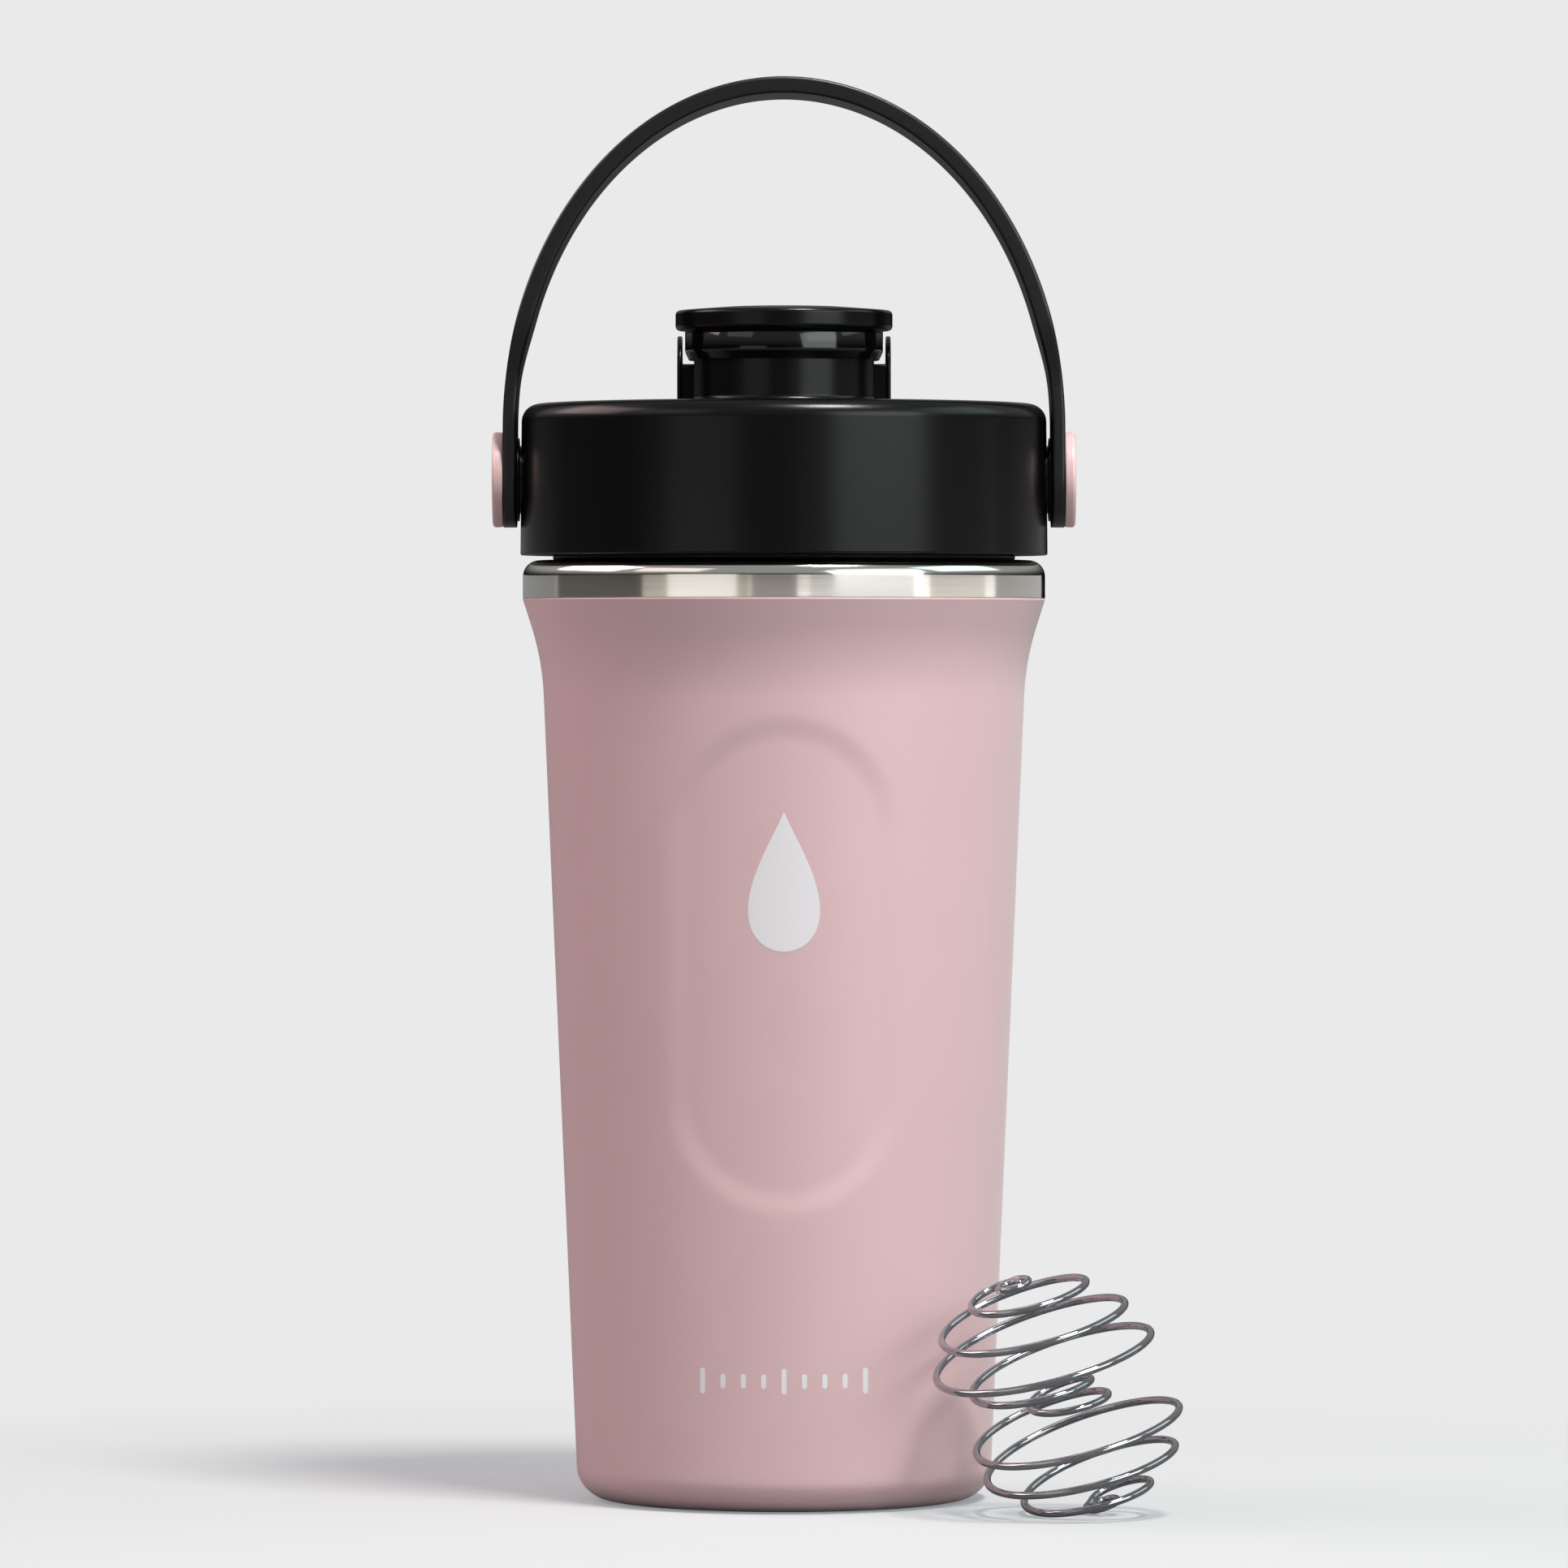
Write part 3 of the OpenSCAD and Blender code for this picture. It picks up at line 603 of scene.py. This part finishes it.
def plate_with_hole(name, radius, low, high, hole_r, hole_y, count=128):
    """A round plate with an off-centre hole, as two rings of points at each level."""
    rings = []
    for z in (low, high):
        for r, y in ((radius, 0.0), (hole_r, hole_y)):
            rings.append([(r * math.cos(TURN * k / count), y + r * math.sin(TURN * k / count), z)
                          for k in range(count)])
    verts = [p for ring in rings for p in ring]
    faces = []
    for a, b in ((0, 1), (1, 3), (3, 2), (2, 0)):
        for i in range(count):
            j = (i + 1) % count
            faces.append((a * count + i, a * count + j, b * count + j, b * count + i))
    return weigh_normals(add_object(name, verts, faces))


def make_seals():
    """The gasket between plug and lip, and the tapered silicone plug in the spout."""
    inner_r, outer_r = PLUG_R + 0.05, 41.6
    low, top = RIM_Z + 0.05, PLUG_FLANGE_Z - 0.05
    gasket = rounded([(inner_r, low, 0.3), (outer_r, low, 0.35), (outer_r, top, 0.35),
                      (inner_r, top, 0.3)], 4)
    place(lathe("gasket_ring", gasket, 192), "seal_ring", "silicone", "lid_gasket")
    tip_z, seat_z, seat_r = 206.6, SPOUT_Z + 0.2, 15.6
    plug = rounded([(0, tip_z, 0), (12.3, tip_z, 0.7), (13.65, seat_z, 0.1),
                    (seat_r, seat_z, 0.15), (seat_r, CAP_Z, 0.1), (0, CAP_Z, 0)], 5)
    place(lathe("spout_plug", plug, 128, centre=(0, SPOUT_Y)), "cap", "silicone", "cap_seal")


# ---------------------------------------------------------------- flip cap
def make_cap():
    """The disc with its arm and hinge barrel, the glossy ring under it and the hinge pin."""
    top, low = CAP_Z + CAP_T, CAP_Z + 0.1
    disc = lathe("disc", rounded([
        (0, CAP_Z, 0), (CAP_R, CAP_Z, 0.8), (CAP_R, top - 0.95, 0.8), (CAP_R * 0.55, top - 0.28, 8),
        (0, top, 0)], 10), 192, centre=(0, SPOUT_Y))
    arm_top, round_r = top - 1.2, 13.0
    round_y, round_z = HINGE_Y + BARREL_R - round_r, arm_top - round_r
    arc = [(round_y + round_r * math.cos(a), round_z + round_r * math.sin(a))
           for a in np.linspace(math.pi / 2, math.radians(8), 16)]
    barrel = [(HINGE_Y + BARREL_R * math.cos(a), HINGE_Z + BARREL_R * math.sin(a))
              for a in np.linspace(0, -math.pi, 24)]
    plan = [(HINGE_Y - BARREL_R, low), (SPOUT_Y + 4, low), (SPOUT_Y + 4, arm_top)]
    arm = prism("arm", plan + arc + barrel, -ARM_HALF, ARM_HALF, bevel=0.6, steps=4)
    drill(arm, PIN_R + 0.05, (HINGE_Y, HINGE_Z))
    place(merge("cap_lid", [disc, arm]), "cap", "lid_plastic", "cap_cover")
    collar = rounded([(SKIRT_IN, low, 0), (SKIRT_IN, SKIRT_LOW_Z, 0.15),
                      (SKIRT_FOOT_R, SKIRT_LOW_Z, 0.2), (SKIRT_R, SKIRT_BEND_Z, 1.5),
                      (SKIRT_R, low, 0)], 6)
    place(lathe("cap_collar", collar, 192, centre=(0, SPOUT_Y)), "cap", "cap_gloss", "cap_skirt")
    pin = lathe("pin", rounded([(0, -EAR_OUT, 0), (PIN_R, -EAR_OUT, 0.3), (PIN_R, EAR_OUT, 0.3),
                                (0, EAR_OUT, 0)], 4), 48)
    for v in pin.data.vertices:
        x, y, z = v.co
        v.co = (z, HINGE_Y * MM + y, HINGE_Z * MM - x)
    place(pin, "lid", "liner_steel", "cap_hinge_pin")


# ---------------------------------------------------------------- strap
def strap_station(t):
    """Middle (x, z), outward normal, thickness and half width of the strap at arch angle t."""
    a, b = STRAP_HALF + STRAP_T, ARCH_TOP - ARCH_Z
    outer = Vector((a * math.cos(t), ARCH_Z + b * math.sin(t)))
    normal = Vector((math.cos(t) / a, math.sin(t) / b)).normalized()
    share = (outer.y - GRIP_LOW_Z) / (GRIP_HIGH_Z - GRIP_LOW_Z)
    thick = STRAP_T + (GRIP_T - STRAP_T) * float(smoothstep(share))
    half = (STRAP_W + (GRIP_W - STRAP_W) * float(smoothstep(share))) / 2
    return outer - normal * thick / 2, normal, thick, half


def make_strap():
    """A flat rubber strap, bent to an arch, with round ends and rounded edges."""
    half = STRAP_W / 2
    straight = []
    for a in np.linspace(0.12, math.pi / 2, 14):
        straight.append((PIVOT_Z - half * math.cos(a), half * math.sin(a)))
    straight += [(z, half) for z in np.linspace(PIVOT_Z + 1, ARCH_Z - 0.5, 5)]
    middle_x = STRAP_HALF + STRAP_T / 2
    stations = [(Vector((middle_x, z)), Vector((1, 0)), STRAP_T, wide) for z, wide in straight]
    stations += [strap_station(t) for t in np.linspace(0, math.pi, 161)]
    stations += [(Vector((-middle_x, z)), Vector((-1, 0)), STRAP_T, wide)
                 for z, wide in reversed(straight)]
    rings = []
    for middle, normal, thick, wide in stations:
        h, r = thick / 2, min(STRAP_EDGE, wide * 0.6)
        section = rounded([(-wide, -h, r), (wide, -h, r), (wide, h, r), (-wide, h, r)], 5)
        rings.append([(middle.x + normal.x * n, y, middle.y + normal.y * n) for y, n in section])
    strap = sweep("strap_loop", rings)
    drill(strap, STRAP_HOLE_R, (0.0, PIVOT_Z))
    weigh_normals(strap)
    place(strap, "strap", "strap_rubber", "carry_strap")


def make_pivots():
    """On each side a bush that the strap turns on, and a button with a grooved face."""
    for side, word in ((-1, "left"), (1, "right")):
        bush = lathe("bush_" + word, rounded([
            (STEM_R, BOSS_OUT, 0), (BUSH_R, BOSS_OUT, 0.12), (BUSH_R, BUSH_OUT, 0.12),
            (SLEEVE_R, BUSH_OUT, 0), (SLEEVE_R, BUTTON_X, 0), (STEM_R, BUTTON_X, 0)], 3), 64)
        place(lie_along_x(bush, side), "lid", "lid_plastic", "pivot_bush_" + word)
        r, x, top = BUTTON_R, BUTTON_X, BUTTON_X + BUTTON_T
        groove = top - BUTTON_GROOVE
        button = lathe("button_" + word, rounded([
            (0, STEM_END, 0), (STEM_R, STEM_END, 0.4), (STEM_R, x, 0), (r - 0.1, x, 0.25),
            (r, top, 0.6), (r - 1.5, top, 0.2), (r - 1.7, groove, 0.2), (r - 4.1, groove, 0.2),
            (r - 4.3, top, 0.3), (0, top, 0)], 5), 128)
        place(lie_along_x(button, side), "lid", "button_plastic", "pivot_button_" + word)


# ---------------------------------------------------------------- whisk
WIRE_D = 1.35
BALL_H, BALL_R, BALL_SHEAR = 42.8, 21.1, -0.1
COIL_TURNS, COIL_PHASE, RISE_SWING = 8.2, -0.3, 0.86
EYELET_R, EYELET_TURNS, EYELET_SPIRAL = 3.4, 1.25, 1.6
WAIST_H, WAIST_DEPTH, WAIST_W = 21.9, 15.6, 4.1
WHISK_AT = (48.3, -40.0, 21.45)
WHISK_LEAN = (math.radians(10.4), math.radians(-17.2))     # about X, then about Y


def wire_point(t):
    """The wire after t turns: an eyelet, a ball with a narrow waist, and another eyelet."""
    s = min(max(t, 0), COIL_TURNS) / COIL_TURNS
    h = BALL_H * s - RISE_SWING * math.sin(2 * TURN * s)
    past = max(-t, t - COIL_TURNS, 0)
    envelope = BALL_R * math.sqrt(1 - (1 - 2 * s) ** 2)
    waist = WAIST_DEPTH * math.exp(-abs((h - WAIST_H) / WAIST_W) ** 3)
    r = EYELET_R - EYELET_SPIRAL * past if past > 0 else max(EYELET_R, envelope - waist)
    a = math.pi + TURN * (t + COIL_PHASE)
    z = BALL_H / 2 - h
    x, y = r * math.cos(a) + BALL_SHEAR * z, r * math.sin(a)
    tilt, lean = WHISK_LEAN
    y, z = y * math.cos(tilt) - z * math.sin(tilt), y * math.sin(tilt) + z * math.cos(tilt)
    x, z = x * math.cos(lean) + z * math.sin(lean), -x * math.sin(lean) + z * math.cos(lean)
    return np.array([x + WHISK_AT[0], y + WHISK_AT[1], z + WHISK_AT[2]])


def make_whisk():
    """One steel wire, drawn along its path with narrowed ends."""
    times = np.arange(-EYELET_TURNS, COIL_TURNS + EYELET_TURNS, 1 / 72)
    points = np.array([wire_point(t) for t in times])
    for _ in range(6):                 # softens the kinks where the eyelets meet the coil
        points[1:-1] = (points[:-2] + 2 * points[1:-1] + points[2:]) / 4
    rings = []
    for i, p in enumerate(points):
        along = Vector(points[min(i + 1, len(points) - 1)] - points[max(i - 1, 0)]).normalized()
        side = along.cross(Vector((0, 0, 1))).normalized()
        up = side.cross(along)
        ring_r = WIRE_D / 2 * (0.55 if i in (0, len(points) - 1) else 1)
        rings.append([tuple(Vector(p) + ring_r * (math.cos(a) * side + math.sin(a) * up))
                      for a in np.linspace(0, TURN, 12, endpoint=False)])
    place(sweep("whisk_coil", rings), "whisk", "whisk_wire", "whisk_ball")


# ---------------------------------------------------------------- stage, lights, camera
BACKDROP = 0.823          # the pale grey of floor and background, as linear light
FLOOR_RADIUS = 40.0
FADE_START, FADE_END = 0.17, 0.28           # the floor turns into the background between these
FLOOR_SHADE, FLOOR_BOUNCE = 0.39, 0.18      # its grey to the eye, and to everything else
FLOOR_GLOW, GLOW_TINT = 0.245, (0.93, 0.99, 1.07)
ROOM_LIGHT, ROOM_LOW, ROOM_HIGH = 0.34, 0.02, 0.32      # strength, and the heights it grows between
LIGHT_TARGET_Z = 0.15
CAMERA_AT, CAMERA_TILT, CAMERA_LENS = (0, -1.842, 0.1529), -0.755, 234.8


def make_stage():
    """A pale floor that fades into an even background of the same grey."""
    bpy.ops.mesh.primitive_circle_add(vertices=96, radius=FLOOR_RADIUS, fill_type="NGON")
    floor = bpy.context.object
    floor.name = "studio_floor"
    floor.location.z = -0.0001
    material = bpy.data.materials.new("studio_floor")
    material.use_nodes = True
    tree = material.node_tree
    tree.nodes.clear()
    out = node(tree, "ShaderNodeOutputMaterial")
    matt = node(tree, "ShaderNodeBsdfDiffuse")
    matt.inputs["Color"].default_value = (FLOOR_SHADE, FLOOR_SHADE, FLOOR_SHADE, 1)
    base_glow = node(tree, "ShaderNodeEmission")
    base_glow.inputs["Color"].default_value = (*GLOW_TINT, 1)
    base_glow.inputs["Strength"].default_value = FLOOR_GLOW
    lit = node(tree, "ShaderNodeAddShader")
    even = node(tree, "ShaderNodeEmission")
    even.inputs["Strength"].default_value = BACKDROP
    where = node(tree, "ShaderNodeTexCoord")
    span = node(tree, "ShaderNodeVectorMath", operation="LENGTH")
    fade = node(tree, "ShaderNodeMapRange", interpolation_type="SMOOTHSTEP")
    fade.inputs["From Min"].default_value = FADE_START
    fade.inputs["From Max"].default_value = FADE_END
    eye = node(tree, "ShaderNodeLightPath")
    seen = node(tree, "ShaderNodeMixShader")
    plain = node(tree, "ShaderNodeBsdfDiffuse")
    plain.inputs["Color"].default_value = (FLOOR_BOUNCE, FLOOR_BOUNCE, FLOOR_BOUNCE, 1)
    mix = node(tree, "ShaderNodeMixShader")
    link = tree.links.new
    link(matt.outputs[0], lit.inputs[0])
    link(base_glow.outputs[0], lit.inputs[1])
    link(where.outputs["Object"], span.inputs[0])
    link(span.outputs["Value"], fade.inputs["Value"])
    link(fade.outputs["Result"], mix.inputs[0])
    link(lit.outputs[0], mix.inputs[1])
    link(even.outputs[0], mix.inputs[2])
    link(eye.outputs["Is Camera Ray"], seen.inputs[0])
    link(plain.outputs[0], seen.inputs[1])
    link(mix.outputs[0], seen.inputs[2])
    link(seen.outputs[0], out.inputs["Surface"])
    floor.data.materials.append(material)


def make_world():
    """An even pale background to the eye, and to everything else a studio that is dark at eye
    level and dimly lit overhead. The heights are the sine of the elevation."""
    world = bpy.data.worlds.new("studio")
    bpy.context.scene.world = world
    world.use_nodes = True
    tree = world.node_tree
    shown = tree.nodes["Background"]
    shown.inputs["Color"].default_value = (BACKDROP, BACKDROP, BACKDROP, 1)
    dim = node(tree, "ShaderNodeBackground")
    where = node(tree, "ShaderNodeTexCoord")
    axes = node(tree, "ShaderNodeSeparateXYZ")
    rise = node(tree, "ShaderNodeMapRange", interpolation_type="SMOOTHSTEP")
    rise.inputs["From Min"].default_value = ROOM_LOW
    rise.inputs["From Max"].default_value = ROOM_HIGH
    dim.inputs["Strength"].default_value = ROOM_LIGHT
    tree.links.new(where.outputs["Generated"], axes.inputs[0])
    tree.links.new(axes.outputs["Z"], rise.inputs["Value"])
    tree.links.new(rise.outputs["Result"], dim.inputs["Color"])
    eye = node(tree, "ShaderNodeLightPath")
    mix = node(tree, "ShaderNodeMixShader")
    tree.links.new(eye.outputs["Is Camera Ray"], mix.inputs[0])
    tree.links.new(dim.outputs[0], mix.inputs[1])
    tree.links.new(shown.outputs[0], mix.inputs[2])
    tree.links.new(mix.outputs[0], tree.nodes["World Output"].inputs["Surface"])


def soft_light(name, azimuth, elevation, distance, width, height, radiance, tint):
    """A rectangular softbox aimed at the middle of the bottle. Azimuth 0 is the camera's side,
    and positive angles are to its right."""
    light = bpy.data.lights.new(name, "AREA")
    light.shape = "RECTANGLE"
    light.size, light.size_y = width, height
    light.energy = radiance * math.pi * width * height
    light.color = tint
    obj = bpy.data.objects.new(name, light)
    bpy.context.scene.collection.objects.link(obj)
    a, e = math.radians(azimuth), math.radians(elevation)
    target = Vector((0, 0, LIGHT_TARGET_Z))
    away = Vector((math.sin(a) * math.cos(e), -math.cos(a) * math.cos(e), math.sin(e)))
    obj.location = target + away * distance
    obj.rotation_euler = away.to_track_quat("Z", "Y").to_euler()
    obj.visible_camera = False


# name, azimuth, elevation, distance, width, height, radiance, tint
LIGHTS = [
    ("key", 34, 66, 2.2, 0.5, 0.5, 59.0, (1.0, 1.0, 0.93)),
    ("left_high", -105, 34, 2.0, 1.4, 0.9, 4.4, (1.0, 0.74, 0.75)),
    ("left_mid", -55, 32, 2.0, 1.1, 0.8, 0.9, (1.0, 0.88, 0.88)),
    ("mid_right", 46, 27, 1.8, 1.2, 0.8, 0.9, (0.72, 1.0, 1.0)),
    ("right_high", 95, 34, 2.0, 1.4, 0.9, 1.4, (0.74, 1.0, 1.0)),
    ("tall_right", 42, 16, 1.6, 1.2, 0.76, 2.9, (0.94, 0.99, 1.0)),
    ("low_left", -36, 1, 1.6, 0.9, 0.3, 0.6, (0.96, 0.98, 1.0)),
    ("thin_right", 36, 0.6, 1.5, 1.75, 0.08, 1.05, (1.0, 0.98, 0.97)),
    ("thin_left", -39, 0.6, 1.5, 1.4, 0.08, 0.7, (1.0, 0.93, 0.85)),
    ("thin_middle", -2, 0.6, 1.5, 0.7, 0.08, 0.45, (1.0, 0.95, 0.93)),
    ("thin_far_right", 82, 0.6, 1.5, 1.3, 0.08, 1.0, (1.0, 0.97, 0.92)),
    ("thin_back_right", 128, 0.6, 1.5, 1.7, 0.08, 0.5, (1.0, 0.98, 0.99)),
    ("thin_far_left", -92, 0.6, 1.5, 1.6, 0.08, 0.13, (1.0, 0.92, 0.85)),
    ("thin_back_left", -144, 0.6, 1.5, 1.5, 0.08, 0.3, (0.98, 0.99, 1.0)),
]


def make_lights():
    for light in LIGHTS:
        soft_light(*light)


def make_camera():
    """The camera stands just above mid height, nearly level, with a long lens."""
    camera = bpy.data.cameras.new("camera")
    camera.sensor_width = 36
    camera.lens = CAMERA_LENS
    camera.clip_start, camera.clip_end = 0.05, 100
    obj = bpy.data.objects.new("camera", camera)
    bpy.context.scene.collection.objects.link(obj)
    obj.location = CAMERA_AT
    obj.rotation_euler = (math.radians(90 + CAMERA_TILT), 0, 0)
    bpy.context.scene.camera = obj


bpy.context.scene.view_settings.view_transform = "Standard"
make_camera()
make_body()
make_rim()
make_liner()
make_base()
make_print()
make_lid()
make_plug()
make_seals()
make_cap()
make_strap()
make_pivots()
make_whisk()
make_stage()
make_world()
make_lights()
